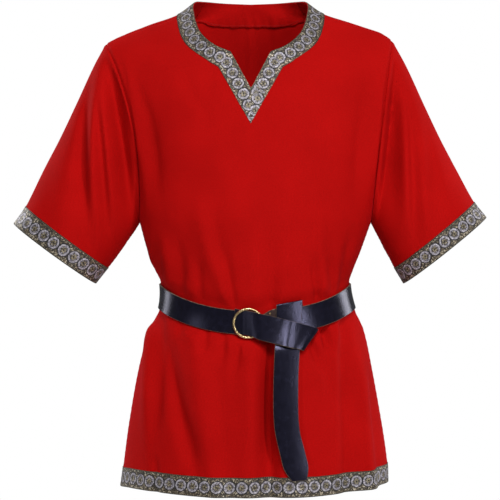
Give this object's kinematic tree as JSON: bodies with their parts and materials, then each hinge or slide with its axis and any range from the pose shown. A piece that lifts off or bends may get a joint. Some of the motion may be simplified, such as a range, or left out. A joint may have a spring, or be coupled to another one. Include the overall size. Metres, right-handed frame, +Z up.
{
  "type": "medieval tunic with belt, in its worn shape",
  "caption": "Hollow short-sleeved medieval tunic with ribbon trim at neck, cuffs and hem, held in at the waist by its own ring belt.",
  "frame": {"origin": "midway between the wearer's shoulders at the foot of the neck, where the shoulder seams carry the garment", "axes": "+Z up, -Y the garment's front, +X towards the viewer's right when facing the front"},
  "size_m": [0.7562, 0.2898, 0.7788],
  "materials": {
    "cloth": "matt woven cotton, red",
    "trim": "woven metallic jacquard ribbon, gold and silver on dark",
    "leather": "smooth black leather, satin gloss",
    "brass": "polished antique brass"
  },
  "bodies": {
    "root": {"front_panel": "cloth", "back_panel": "cloth", "sleeve_left": "cloth", "sleeve_right": "cloth", "back_neck_facing": "cloth", "hem_trim_front": "trim", "hem_trim_back": "trim", "cuff_trim_left": "trim", "cuff_trim_right": "trim", "neck_trim_left": "trim", "neck_trim_right": "trim", "neck_trim_back": "trim", "slit_trim_left": "trim", "slit_trim_right": "trim", "belt_strap": "leather", "belt_end_fold": "leather", "belt_pass": "leather", "belt_tail": "leather", "belt_ring": "brass"}
  },
  "joints": []
}
